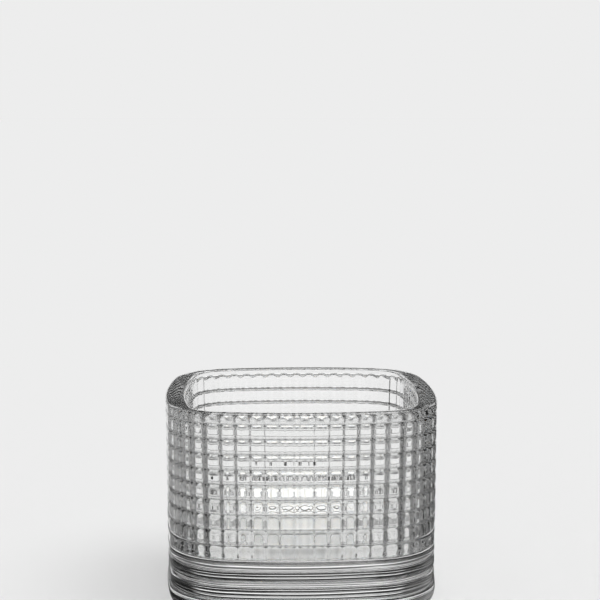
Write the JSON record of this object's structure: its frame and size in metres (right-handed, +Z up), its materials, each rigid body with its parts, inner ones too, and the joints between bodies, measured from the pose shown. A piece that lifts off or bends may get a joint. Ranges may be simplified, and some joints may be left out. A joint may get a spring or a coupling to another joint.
{
  "type": "votive candle holder",
  "caption": "Low rounded-square clear glass votive holder whose level rings outside cross upright reeds inside into a grid, with smooth ribs at the foot and a loose tealight.",
  "frame": {"origin": "middle of the flat underside, on the surface the holder stands on", "axes": "+Z up through the open mouth; -Y is the side that faces the viewer, +X to the viewer's right"},
  "size_m": [0.094, 0.094, 0.07],
  "materials": {
    "clear_glass": "fire-polished pressed glass",
    "clear_cup": "clear moulded",
    "wax": "satin wax",
    "cotton": "braided cotton",
    "tinned_steel": "bright stamped"
  },
  "bodies": {
    "holder": {"glass_holder": "clear_glass"},
    "tealight": {"tealight_cup": "clear_cup", "wax_fill": "wax", "wick": "cotton", "wick_sustainer": "tinned_steel"}
  },
  "joints": [
    {"name": "tealight_lift", "type": "slide", "parent": "holder", "child": "tealight", "axis": [0, 0, 1], "range_m": [0, 0.075]}
  ]
}
